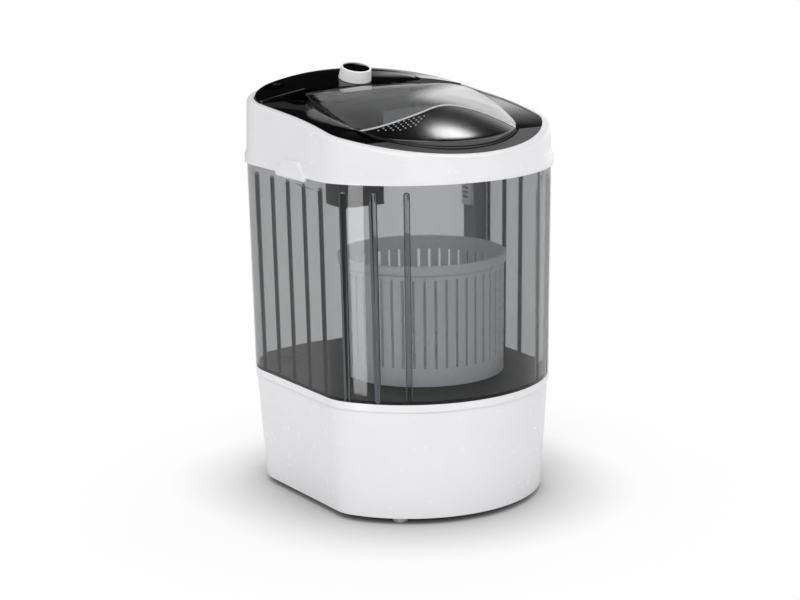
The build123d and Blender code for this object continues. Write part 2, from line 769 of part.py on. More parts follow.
# Spin basket: slotted drum, a rim round its top, and a raised floor that drops over the pulsator's hub
floor_z = basket_bottom + basket_floor_rise
basket_top = basket_bottom + basket_height


def basket_form(inset, height, mode=Mode.ADD):
    """The drum's drafted form up to this height, moved inwards by inset."""
    draft = (basket_top_radius - basket_bottom_radius) / basket_height
    low, high = basket_bottom_radius - inset, basket_bottom_radius - inset + draft * height
    with Locations((0, drive_y, basket_bottom)):
        Cone(low, high, height, align=(Align.CENTER, Align.CENTER, Align.MIN), mode=mode)


with BuildPart() as spin_basket:
    basket_form(0, basket_height - basket_band_roof)
    basket_form(basket_wall, basket_height, Mode.SUBTRACT)
    with Locations((0, drive_y, basket_bottom + (slot_low + slot_high) / 2)):
        with PolarLocations(basket_bottom_radius, slot_count):
            Box(20, slot_width, slot_high - slot_low, mode=Mode.SUBTRACT)
save(spin_basket, "spin_basket")
with BuildPart() as basket_rim:
    disc(0, drive_y, basket_band_radius, basket_top - basket_band_height, basket_band_height)
    fillet(basket_rim.edges().filter_by(GeomType.CIRCLE), 2)
    basket_form(0, basket_height - basket_band_roof, Mode.SUBTRACT)
    basket_form(basket_wall, basket_height, Mode.SUBTRACT)
save(basket_rim, "basket_rim")
with BuildPart() as basket_floor:
    disc(0, drive_y, basket_bottom_radius, floor_z, basket_floor_thickness)
    basket_form(basket_wall, basket_height, Mode.INTERSECT)
    with Locations((0, drive_y, floor_z)):
        for radius in (52, 78):
            with PolarLocations(radius, drain_holes):
                Cylinder(2.5, 20, mode=Mode.SUBTRACT)
    hub_roof = hub_top + slip
    disc(0, drive_y, basket_hub_radius, floor_z, hub_roof + 3 - floor_z)
    hub_edges = basket_floor.edges().filter_by(GeomType.CIRCLE).sort_by(lambda e: abs(e.radius - basket_hub_radius))
    fillet(hub_edges[:2].sort_by(Axis.Z)[-1:], 1)
    hexagon(0, drive_y, floor_z - 1, hub_flats + 2 * slip, hub_roof - floor_z + 1, Mode.SUBTRACT)
save(basket_floor, "basket_floor")

# Run capacitor and its strap
cap_x, cap_y = capacitor_offset[0], drive_y + capacitor_offset[1]
with BuildPart() as capacitor:
    disc(cap_x, cap_y, capacitor_radius, chassis_low - capacitor_height, capacitor_height)
    fillet(capacitor.edges().group_by(Axis.Z)[0], 2)
save(capacitor, "capacitor")
strap_z = chassis_low - capacitor_height / 2
with BuildPart() as capacitor_strap:
    disc(cap_x, cap_y, capacitor_radius + 1.5, strap_z, 10)
    bar((cap_x - 6, cap_y - capacitor_radius - 1.5, strap_z), (cap_x + 6, cap_y - capacitor_radius + 4, chassis_low))
    disc(cap_x, cap_y, capacitor_radius, strap_z, chassis_low - strap_z, Mode.SUBTRACT)
save(capacitor_strap, "capacitor_strap")

# Drain sump under the tub, with the spout that a hose pushes onto
with BuildPart() as drain_sump:
    disc(drain_x, drain_y, sump_radius + 5, base_top - 3, 3)
    disc(drain_x, drain_y, sump_radius, sump_bottom, base_top - sump_bottom)
    disc(drain_x, drain_y, sump_radius - sump_wall, sump_bottom + sump_wall, base_top, Mode.SUBTRACT)
    with Locations(facing_back(drain_y)):
        with Locations((drain_x, spout_z)):
            Cylinder(spout_bore, 2 * sump_radius, align=(Align.CENTER, Align.CENTER, Align.MAX), mode=Mode.SUBTRACT)
save(drain_sump, "drain_sump")
with BuildPart() as drain_spout:
    with Locations(facing_back(drain_y)):
        with Locations((drain_x, spout_z)):
            reach = middle + spout_past_back - drain_y
            Cylinder(spout_neck, reach, align=(Align.CENTER, Align.CENTER, Align.MAX))
            with Locations((0, 0, -reach)):
                Cylinder(spout_radius, spout_nose, align=(Align.CENTER, Align.CENTER, Align.MIN))
            Cylinder(spout_bore, reach, align=(Align.CENTER, Align.CENTER, Align.MAX), mode=Mode.SUBTRACT)
    disc(drain_x, drain_y, sump_radius, sump_bottom, base_top, Mode.SUBTRACT)
    fillet(drain_spout.faces().sort_by(Axis.Y)[-1].outer_wire().edges(), 0.8)
save(drain_spout, "drain_spout")

# Cord inlet bush in the back of the base
with BuildPart() as cord_gland:
    with Locations(facing_back(gland_y)):
        with Locations((gland_x, gland_z)):
            Cylinder(gland_radius + 3, 40)
    base_form(3, Mode.INTERSECT)
    base_form(0, Mode.SUBTRACT)
    with Locations(facing_back(gland_y)):
        with Locations((gland_x, gland_z)):
            Cylinder(gland_radius, 24)
            Cylinder(gland_bore, 60, mode=Mode.SUBTRACT)
save(cord_gland, "cord_gland")

# Collar: white ring with a band over the tub, a rolled rim and a hand grip on each side
with BuildPart() as collar_hollow:
    extrude(footprint(collar_wall, tub_top), amount=above, taper=collar_draft)
    across(under_rim(rim_round), Mode.INTERSECT)
    extrude(footprint(panel_inset - collar_wall, tub_top), amount=above, mode=Mode.SUBTRACT)
with BuildPart() as panel_ledge:
    extrude(footprint(panel_inset - collar_wall / 2, tub_top), amount=above)
    extrude(footprint(panel_inset + ledge_width, tub_top), amount=above, mode=Mode.SUBTRACT)
    across(under_rim(panel_drop + panel_thickness), Mode.INTERSECT)
    across(under_rim(panel_drop + panel_thickness + ledge_thickness), Mode.SUBTRACT)
with BuildPart() as hand_grips:
    extrude(footprint(-grip_proud, collar_bottom - grip_drop), amount=grip_drop + grip_rise)
    with BuildSketch(side_plane) as grip_view:
        with Locations((grip_y, collar_bottom - grip_drop)):
            Trapezoid(2 * grip_half, grip_drop + grip_rise, grip_slope, align=(Align.CENTER, Align.MIN))
        fillet(grip_view.vertices(), 5)
    across(grip_view.sketch, Mode.INTERSECT)
    for end in (0, -1):
        fillet(hand_grips.faces().sort_by(Axis.X)[end].outer_wire().edges(), grip_round)
with BuildPart() as collar:
    extrude(footprint(0, collar_bottom + band_height + band_slope), amount=above, taper=collar_draft)
    across(under_rim(0), Mode.INTERSECT)
    fillet(collar.faces().sort_by(Axis.Z)[-1].outer_wire().edges(), rim_round)
    extrude(footprint(-band_proud, collar_bottom), amount=band_height)
    run_out = degrees(atan(band_proud / band_slope))
    extrude(footprint(-band_proud, collar_bottom + band_height), amount=band_slope, taper=run_out)
    add(hand_grips.part)
    extrude(footprint(panel_inset, collar_bottom - grip_drop), amount=above + grip_drop, mode=Mode.SUBTRACT)
    extrude(footprint(-slip, collar_bottom - grip_drop), amount=grip_drop + tub_in_collar, mode=Mode.SUBTRACT)
    add(collar_hollow.part, mode=Mode.SUBTRACT)
    add(panel_ledge.part)
save(collar, "collar")

# Splash ring that hangs under the panel, round the wash mouth
panel_under = panel_drop + panel_thickness
hinge_z = rim_height(hinge_y) - panel_drop + hinge_lift
with BuildPart() as mouth_ring:
    extrude(lid_outline(mouth_inset - lid_wall, collar_bottom), amount=above)
    extrude(lid_outline(mouth_inset, collar_bottom), amount=above, mode=Mode.SUBTRACT)
    across(under_rim(panel_under), Mode.INTERSECT)
    across(under_rim(panel_under + mouth_skirt), Mode.SUBTRACT)
save(mouth_ring, "mouth_ring")


# Control panel: gloss sheet that follows the rim, with the wash mouth and the hinge ears
def step_region(gap, z):
    """The crescent in front of the lid, shrunk by gap."""
    with BuildSketch(Plane.XY.offset(z)) as region:
        add(footprint(panel_inset + seat + gap, z))
        add(lid_outline(-lip_reach - 1.5 - gap, z), mode=Mode.SUBTRACT)
        with Locations((0, -middle + step_from_front - gap)):
            Rectangle(2 * half_width, middle, align=(Align.CENTER, Align.MAX), mode=Mode.INTERSECT)
    return region.sketch


with BuildPart() as control_panel:
    extrude(footprint(panel_inset + seat, collar_bottom), amount=above)
    across(under_rim(panel_drop), Mode.INTERSECT)
    across(under_rim(panel_under), Mode.SUBTRACT)
    extrude(lid_outline(mouth_inset, collar_bottom), amount=above, mode=Mode.SUBTRACT)
    extrude(step_region(-seat, collar_bottom), amount=above, mode=Mode.SUBTRACT)
    disc(inlet_x, inlet_y, inlet_recess, collar_bottom, above, Mode.SUBTRACT)
    bar(
        (-window_half, knob_y - window_reach[0], collar_bottom),
        (window_half, knob_y + window_reach[1], rim_back + 60),
        Mode.SUBTRACT,
    )
    for side in (-1, 1):
        ear_x = side * (tab_half + slip + hinge_ear / 2)
        bar(
            (ear_x - hinge_ear / 2, hinge_y - hinge_barrel, hinge_z - hinge_lift - 1),
            (ear_x + hinge_ear / 2, hinge_y + hinge_barrel, hinge_z),
        )
        with Locations(Location((ear_x, hinge_y, hinge_z), (0, 90, 0))):
            Cylinder(hinge_barrel, hinge_ear)
            Cylinder(hinge_pin_radius, hinge_ear, mode=Mode.SUBTRACT)
save(control_panel, "control_panel")
with BuildPart() as front_trim:
    extrude(step_region(0, collar_bottom), amount=above)
    across(under_rim(panel_drop - step_height), Mode.INTERSECT)
    across(under_rim(panel_under), Mode.SUBTRACT)
save(front_trim, "front_trim")
with BuildPart() as hinge_pin:
    with Locations(Location((0, hinge_y, hinge_z), (0, 90, 0))):
        Cylinder(hinge_pin_radius, 2 * (tab_half + slip + hinge_ear))
save(hinge_pin, "hinge_pin")

# Console: arched deck behind the lid, with a tilted front that turns the knob towards the user
tilt = radians(knob_tilt)
top_plane = Plane(origin=(0, knob_y, knob_z), x_dir=(1, 0, 0), z_dir=(0, -sin(tilt), cos(tilt)))
timer_axis = Axis(top_plane.origin, top_plane.z_dir)
console_rear = middle - panel_inset - seat - console_side_gap
inlet_clear = inlet_recess + inlet_margin


def console_plan(inset):
    """The deck's outline from above, moved inwards by inset."""
    with BuildSketch(Plane.XY.offset(collar_bottom)) as plan:
        add(footprint(panel_inset + seat + console_side_gap + inset, collar_bottom))
        with Locations((0, console_front + inset)):
            Rectangle(4 * half_width, depth, align=(Align.CENTER, Align.MIN), mode=Mode.INTERSECT)
        fillet(plan.vertices().group_by(Axis.Y)[0], console_corner - inset)
    return plan.sketch


def under_arch(inset):
    """The space under the deck's arched, sloping top, lowered by inset."""
    slope = radians(console_slope)
    crown = Plane(
        origin=(0, console_rear, rim_back + console_rise), x_dir=(1, 0, 0), z_dir=(0, -cos(slope), -sin(slope))
    )
    with BuildSketch(crown) as arch:
        with Locations((0, -console_arch)):
            Circle(console_arch - inset)
    extrude(arch.sketch, amount=depth, both=True, mode=Mode.INTERSECT)


def seat_for_knob(inset):
    """The round post under the knob and the tilted front it stands on, for a form moved inwards by inset."""
    on_timer_axis(knob_bottom_radius + knob_seat_margin - inset, -inset - 30, 30)
    extrude(console_plan(inset), amount=above, mode=Mode.INTERSECT)
    on_top_plane(-inset, (2 * (fascia_half + inset), depth, 60), Mode.SUBTRACT)


def on_top_plane(low, size, mode=Mode.ADD):
    """A box centred on the knob's axis, from this height above its seat."""
    with Locations(top_plane.offset(low)):
        Box(*size, align=(Align.CENTER, Align.CENTER, Align.MIN), mode=mode)


def on_timer_axis(radius, low, height, mode=Mode.ADD, x=0.0):
    """A cylinder along the knob's axis, from this height above its seat."""
    with Locations(top_plane.offset(low)):
        with Locations((x, 0)):
            Cylinder(radius, height, align=(Align.CENTER, Align.CENTER, Align.MIN), mode=mode)


screw_x = movement_flange[0] / 2 - 4
with BuildPart() as console_inside:
    extrude(console_plan(console_wall), amount=above)
    under_arch(console_wall)
    seat_for_knob(console_wall)
    disc(inlet_x, inlet_y, inlet_clear + console_wall, collar_bottom, above, Mode.SUBTRACT)
with BuildPart() as console_cover:
    extrude(console_plan(0), amount=above)
    under_arch(0)
    fillet(console_cover.faces().sort_by(Axis.Z)[-1].outer_wire().edges(), console_round)
    seat_for_knob(0)
    disc(inlet_x, inlet_y, inlet_clear, collar_bottom, above, Mode.SUBTRACT)
    add(console_inside.part, mode=Mode.SUBTRACT)
    across(under_rim(panel_drop), Mode.SUBTRACT)
    on_timer_axis(spindle_radius + 1, -console_wall - 5, 20, Mode.SUBTRACT)
    for side in (-1, 1):
        on_timer_axis(movement_screw_radius + 0.1, -console_wall, 2, Mode.SUBTRACT, side * screw_x)
save(console_cover, "console_cover")

# Timer movement under the console, its screws, and the splash box round it
flange_low = -console_wall - movement_flange[2]
with BuildPart() as timer_movement:
    on_top_plane(flange_low - movement_size[2], movement_size)
    fillet(timer_movement.edges().filter_by(timer_axis), 2)
    on_top_plane(flange_low, movement_flange)
    on_timer_axis(spindle_radius + running, -console_wall - spindle_depth - 0.5, 30, Mode.SUBTRACT)
    for side in (-1, 1):
        on_timer_axis(movement_screw_radius + 0.1, flange_low, 10, Mode.SUBTRACT, side * screw_x)
save(timer_movement, "timer_movement")
with BuildPart() as timer_screws:
    for side in (-1, 1):
        on_timer_axis(movement_screw_radius, flange_low, movement_flange[2] + 1.8, x=side * screw_x)
        on_timer_axis(2 * movement_screw_radius, flange_low - 1.6, 1.6, x=side * screw_x)
save(timer_screws, "timer_screws")
with BuildPart() as timer_housing:
    box_front, box_back = knob_y - timer_box_reach[0], knob_y + timer_box_reach[1]
    box_bottom = collar_bottom - timer_box_drop
    bar((-timer_box_half, box_front, box_bottom), (timer_box_half, box_back, rim_back + 60))
    fillet(timer_housing.edges().filter_by(Axis.Z), 4)
    bar(
        (-timer_box_half + timer_box_wall, box_front + timer_box_wall, box_bottom + timer_box_wall),
        (timer_box_half - timer_box_wall, box_back - timer_box_wall, rim_back + 60),
        Mode.SUBTRACT,
    )
    across(under_rim(panel_under), Mode.INTERSECT)
save(timer_housing, "timer_housing")

# Knob, its black cap and the spindle that it turns
knob_gap = 0.5
cap_floor = knob_height - knob_dish
with BuildPart() as timer_knob:
    with Locations(top_plane.offset(knob_gap)):
        Cone(
            knob_bottom_radius,
            knob_top_radius,
            knob_height - knob_gap,
            align=(Align.CENTER, Align.CENTER, Align.MIN),
        )
    fillet(timer_knob.edges().sort_by(timer_axis)[-1:], 1)
    hollow_height = cap_floor - knob_web - knob_gap
    with Locations(top_plane.offset(knob_gap)):
        Cone(
            knob_bottom_radius - knob_wall,
            knob_top_radius - knob_wall,
            hollow_height,
            align=(Align.CENTER, Align.CENTER, Align.MIN),
            mode=Mode.SUBTRACT,
        )
    on_timer_axis(knob_boss_radius, knob_gap, hollow_height)
    on_timer_axis(spindle_radius, 0, spindle_grip, Mode.SUBTRACT)
    on_timer_axis(knob_top_radius - knob_rim, cap_floor, 30, Mode.SUBTRACT)
save(timer_knob, "timer_knob")
with BuildPart() as knob_cap:
    on_timer_axis(knob_top_radius - knob_rim - seat, cap_floor, knob_dish - 0.8)
    fillet(knob_cap.edges().sort_by(timer_axis)[-1:], 0.6)
    with Locations(top_plane.offset(knob_height)):
        with Locations((0, knob_top_radius / 2 - knob_wall)):
            Box(1.6, knob_top_radius / 2, 2.4, mode=Mode.SUBTRACT)
save(knob_cap, "knob_cap")
with BuildPart() as timer_spindle:
    on_timer_axis(spindle_radius, -console_wall - spindle_depth, console_wall + spindle_depth + spindle_grip)
save(timer_spindle, "timer_spindle")

# Water inlet: a cup under the panel with a nozzle through it
inlet_top = rim_height(inlet_y) - panel_under
with BuildPart() as water_inlet:
    disc(inlet_x, inlet_y, inlet_cup, inlet_top - inlet_cup_depth, 60)
    disc(inlet_x, inlet_y, inlet_recess, inlet_top - inlet_cup_depth + 2.5, 60, Mode.SUBTRACT)
    across(under_rim(panel_under), Mode.INTERSECT)
    disc(inlet_x, inlet_y, inlet_radius, inlet_top + 2 - inlet_length, inlet_length)
    disc(inlet_x, inlet_y, inlet_bore, inlet_top - inlet_length, 2 * inlet_length, Mode.SUBTRACT)
save(water_inlet, "water_inlet")

# Overflow duct on the right wall, with the lint filter on its face
duct_y = rib_first - rib_pitch / 2
duct_top = collar_bottom - duct_drop
wall_x = side_x(duct_y) - tub_bottom_inset - tub_wall
face_x = wall_x - duct_depth
with BuildPart() as overflow_duct:
    bar((face_x, duct_y - duct_width / 2, cavity_z), (wall_x + 12, duct_y + duct_width / 2, duct_top))
    tub_cavity(Mode.INTERSECT)
    bar(
        (face_x + duct_wall, duct_y - duct_width / 2 + duct_wall, cavity_z),
        (wall_x - duct_wall, duct_y + duct_width / 2 - duct_wall, duct_top - duct_wall),
        Mode.SUBTRACT,
    )
    bar(
        (face_x - 1, duct_y - duct_width / 2 + 2 * duct_wall, cavity_z),
        (face_x + duct_wall, duct_y + duct_width / 2 - 2 * duct_wall, cavity_z + duct_inlet),
        Mode.SUBTRACT,
    )
    filter_z = duct_top - filter_drop - filter_size[2]
    bar(
        (face_x - 1, duct_y - filter_size[1] / 2 + 2, filter_z + 3),
        (face_x + duct_wall, duct_y + filter_size[1] / 2 - 2, filter_z + filter_size[2] - 3),
        Mode.SUBTRACT,
    )
save(overflow_duct, "overflow_duct")
with BuildPart() as lint_filter:
    bar(
        (face_x - filter_size[0], duct_y - filter_size[1] / 2, filter_z),
        (face_x, duct_y + filter_size[1] / 2, filter_z + filter_size[2]),
    )
    fillet(lint_filter.edges().filter_by(Axis.Z).sort_by(Axis.X)[:2], 2)
    bar(
        (face_x - filter_size[0] + 1.5, duct_y - filter_size[1] / 2 + 2, filter_z + 3),
        (face_x + 1, duct_y + filter_size[1] / 2 - 2, filter_z + filter_size[2] - 3),
        Mode.SUBTRACT,
    )
    with Locations((face_x - filter_size[0], duct_y, filter_z + filter_size[2] / 2)):
        with Locations([(0, 0, 6 * i) for i in range(-2, 3)]):
            Box(8, filter_size[1] - 8, 2.4, mode=Mode.SUBTRACT)
save(lint_filter, "lint_filter")

# Lid: low cap in three pieces, clear behind an S-shaped trim and black in front of it
def lid_crown(grow):
    """The space under the lid's top, raised by grow: arches that flatten towards the back."""
    side = lid_half + 2 * lid_edge_round
    with BuildPart() as crown:
        for y, fall, sag in lid_arches:
            top_z = rim_back - fall + grow
            edge_z = top_z - sag * (side / lid_half) ** 2
            low_z = collar_bottom - depth / 2
            with BuildSketch(facing_back(drive_y + y)):
                with BuildLine():
                    ThreePointArc((-side, edge_z), (0, top_z), (side, edge_z))
                    Polyline((side, edge_z), (side, low_z), (-side, low_z), (-side, edge_z))
                make_face()
        loft()
    return crown.part


crown_top, crown_under = lid_crown(0), lid_crown(-lid_wall)
trim_crown, pip_crown = lid_crown(trim_proud), lid_crown(pip_height)


def lid_form(inset, crown):
    """The space under the lid, its outline moved inwards by inset, and below this crown."""
    extrude(lid_outline(inset, collar_bottom), amount=above)
    add(crown, mode=Mode.INTERSECT)


def behind_swoosh(shift):
    """The plan region behind the S-shaped line, with that line moved back by shift."""
    with BuildSketch(Plane.XY.offset(collar_bottom)) as region:
        with BuildLine():
            line = Spline([(x, drive_y + y + shift) for x, y in swoosh])
            far = 2 * half_width
            Polyline(line @ 1, (far, (line @ 1).Y), (far, far), (-far, far), (-far, (line @ 0).Y), line @ 0)
        make_face()
    return region.sketch


with BuildPart() as lid_hollow:
    lid_form(lid_wall, crown_under)
with BuildPart() as lid_shell:
    lid_form(0, crown_top)
    fillet(lid_shell.faces().sort_by(Axis.Z)[-1].outer_wire().edges(), lid_edge_round)
    across(under_rim(panel_drop - lid_gap), Mode.SUBTRACT)
    add(lid_hollow.part, mode=Mode.SUBTRACT)
with BuildPart() as lid_dome:
    add(lid_shell.part)
    extrude(behind_swoosh(trim_width / 2), amount=above, mode=Mode.INTERSECT)
    bar((-tab_half, lid_rear - lid_wall, hinge_z - 1.2), (tab_half, hinge_y, hinge_z + 1.3))
    with Locations(Location((0, hinge_y, hinge_z), (0, 90, 0))):
        Cylinder(hinge_barrel, 2 * tab_half)
        Cylinder(hinge_pin_radius + running, 2 * tab_half, mode=Mode.SUBTRACT)
save(lid_dome, "lid_dome")
with BuildPart() as lid_trim:
    lid_form(0.2, trim_crown)
    across(under_rim(panel_drop - lid_gap), Mode.SUBTRACT)
    add(lid_hollow.part, mode=Mode.SUBTRACT)
    extrude(behind_swoosh(-trim_width / 2), amount=above, mode=Mode.INTERSECT)
    extrude(behind_swoosh(trim_width / 2), amount=above, mode=Mode.SUBTRACT)
save(lid_trim, "lid_trim")
with BuildPart() as lid_visor:
    extrude(lid_outline(-lip_reach, collar_bottom), amount=above)
    extrude(lid_outline(lid_wall / 2, collar_bottom), amount=above, mode=Mode.SUBTRACT)
    across(under_rim(panel_drop - lid_gap - lip_thickness), Mode.INTERSECT)
    across(under_rim(panel_drop - lid_gap), Mode.SUBTRACT)
    add(lid_shell.part)
    extrude(behind_swoosh(-trim_width / 2), amount=above, mode=Mode.SUBTRACT)
save(lid_visor, "lid_visor")
with BuildPart() as grip_pips:
    for column in range(pip_columns):
        for row in range(round(4 * sin(pi * (column + 0.5) / pip_columns))):
            x, y = pip_start[0] + column * pip_pitch, drive_y + pip_start[1] - row * pip_row
            disc(x, y, pip_radius, collar_bottom, above)
    add(pip_crown, mode=Mode.INTERSECT)
    add(crown_top, mode=Mode.SUBTRACT)
save(grip_pips, "grip_pips")
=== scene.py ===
# Semi-automatic washing machine: finishes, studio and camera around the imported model
import json
import math

import bpy
from mathutils import Matrix, Vector


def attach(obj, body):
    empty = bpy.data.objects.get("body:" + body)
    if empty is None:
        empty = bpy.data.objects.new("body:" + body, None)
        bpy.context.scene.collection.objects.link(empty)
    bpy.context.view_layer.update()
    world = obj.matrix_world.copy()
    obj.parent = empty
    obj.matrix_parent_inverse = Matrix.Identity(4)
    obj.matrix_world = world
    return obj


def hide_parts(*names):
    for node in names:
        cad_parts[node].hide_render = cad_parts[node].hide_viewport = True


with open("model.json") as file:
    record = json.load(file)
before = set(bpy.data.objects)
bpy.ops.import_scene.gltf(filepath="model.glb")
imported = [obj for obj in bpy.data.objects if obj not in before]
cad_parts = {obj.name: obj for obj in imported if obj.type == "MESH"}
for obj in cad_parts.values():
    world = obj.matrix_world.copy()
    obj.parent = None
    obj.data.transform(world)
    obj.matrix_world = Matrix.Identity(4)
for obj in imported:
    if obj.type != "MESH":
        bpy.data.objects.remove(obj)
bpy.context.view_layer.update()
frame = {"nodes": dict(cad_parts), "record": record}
nodes = frame["nodes"]
bodies = frame["record"]["behaviour"]["bodies"]
bodyOf = {name: body for body, members in bodies.items() for name in members}
slotOf = {part["node"]: part["material_slot"] for part in frame["record"]["subparts"]}
mm = 0.001


# small helpers

def linear(code):  # sRGB hex to the linear values that the sockets take
    channels = [int(code[i:i + 2], 16) / 255 for i in (1, 3, 5)]
    return [c / 12.92 if c <= 0.04045 else ((c + 0.055) / 1.055) ** 2.4 for c in channels] + [1.0]


def addNode(tree, kind, settings=None, links=None):  # a node with its settings, then its incoming links
    node = tree.nodes.new(kind)
    for key, value in (settings or {}).items():
        if isinstance(key, int) or key in node.inputs:
            node.inputs[key].default_value = value
        else:
            setattr(node, key, value)
    for key, socket in (links or {}).items():
        tree.links.new(socket, node.inputs[key])
    return node


def newTree(name):
    material = bpy.data.materials.new(name)
    material.use_nodes = True
    material.node_tree.nodes.clear()
    return material, material.node_tree


def noise(tree, place, size, detail):  # soft random values whose spots have this size in metres
    settings = {"Scale": 1 / size, "Detail": detail}
    return addNode(tree, "ShaderNodeTexNoise", settings, {"Vector": place}).outputs["Fac"]


def ramp(tree, value, source, target, **settings):  # carries one range of values over to another
    settings.update({"From Min": source[0], "From Max": source[1], "To Min": target[0], "To Max": target[1]})
    return addNode(tree, "ShaderNodeMapRange", settings, {"Value": value}).outputs["Result"]


def seenRays(tree, ray):  # 1 for what the camera sees, straight or through clear plastic
    links = {0: ray.outputs["Is Camera Ray"], 1: ray.outputs["Is Transmission Ray"]}
    return addNode(tree, "ShaderNodeMath", {"operation": "MAXIMUM"}, links).outputs[0]


def selectOnly(thing):
    bpy.ops.object.select_all(action="DESELECT")
    thing.select_set(True)
    bpy.context.view_layer.objects.active = thing


# finishes

mouldLook = {  # what an opaque finish can change, here with the values of plain moulded plastic
    "drift": 60 * mm,  # size of the soft shade changes
    "smear": 9 * mm,  # size of the gloss changes, as handling leaves them
    "grain": 0.7 * mm,  # size of the grain that the mould leaves
    "grainDepth": 0.004 * mm,
    "spread": 0.05,  # gloss change either way
    "metallic": 0.0,
    "ior": 1.5,
}
clearLook = {  # the same for every clear finish
    "smear": 14 * mm,  # size of the gloss changes
    "spread": 0.3,  # gloss change either way, as a share of the roughness
    "wave": 35 * mm,  # size of the faint waves in a moulded wall
    "waveDepth": 0.1 * mm,
    "waveStrength": 0.6,
}
noiseSpan = (0.3, 0.7)  # where nearly all of a noise texture's values lie


def surface(name, **changes):
    look = {**mouldLook, **changes}
    material, tree = newTree(name)
    place = addNode(tree, "ShaderNodeTexCoord").outputs["Object"]
    shade = addNode(
        tree,
        "ShaderNodeMix",
        {"data_type": "RGBA", 6: linear(look["colour"]), 7: linear(look["shade"])},
        {0: noise(tree, place, look["drift"], detail=2.0)},
    )
    smear = noise(tree, place, look["smear"], detail=4.0)
    gloss = ramp(
        tree, smear, noiseSpan, (look["roughness"] - look["spread"], look["roughness"] + look["spread"])
    )
    bump = addNode(
        tree,
        "ShaderNodeBump",
        {"Strength": 1.0, "Distance": look["grainDepth"]},
        {"Height": noise(tree, place, look["grain"], detail=2.0)},
    )
    shader = addNode(
        tree,
        "ShaderNodeBsdfPrincipled",
        {"Metallic": look["metallic"], "IOR": look["ior"]},
        {"Base Color": shade.outputs[2], "Roughness": gloss, "Normal": bump.outputs["Normal"]},
    )
    addNode(tree, "ShaderNodeOutputMaterial", {}, {"Surface": shader.outputs["BSDF"]})
    return material


def clearPlastic(name, dye, density, shadowTint, roughness, ior):  # a dye that darkens with thickness
    material, tree = newTree(name)
    place = addNode(tree, "ShaderNodeTexCoord").outputs["Object"]
    smear = noise(tree, place, clearLook["smear"], detail=3.0)
    gloss = ramp(
        tree,
        smear,
        noiseSpan,
        (roughness * (1 - clearLook["spread"]), roughness * (1 + clearLook["spread"])),
    )
    bump = addNode(
        tree,
        "ShaderNodeBump",
        {"Strength": clearLook["waveStrength"], "Distance": clearLook["waveDepth"]},
        {"Height": noise(tree, place, clearLook["wave"], detail=1.0)},
    )
    shader = addNode(
        tree,
        "ShaderNodeBsdfPrincipled",
        {"Base Color": (1, 1, 1, 1), "Transmission Weight": 1.0, "IOR": ior},
        {"Roughness": gloss, "Normal": bump.outputs["Normal"]},
    )
    lampWay = addNode(tree, "ShaderNodeBsdfTransparent", {"Color": linear(shadowTint)})
    ray = addNode(tree, "ShaderNodeLightPath")
    mixed = addNode(
        tree,
        "ShaderNodeMixShader",
        {},
        {0: ray.outputs["Is Shadow Ray"], 1: shader.outputs["BSDF"], 2: lampWay.outputs["BSDF"]},
    )
    dyed = addNode(tree, "ShaderNodeVolumeAbsorption", {"Color": linear(dye), "Density": density})
    links = {"Surface": mixed.outputs["Shader"], "Volume": dyed.outputs["Volume"]}
    addNode(tree, "ShaderNodeOutputMaterial", {}, links)
    return material


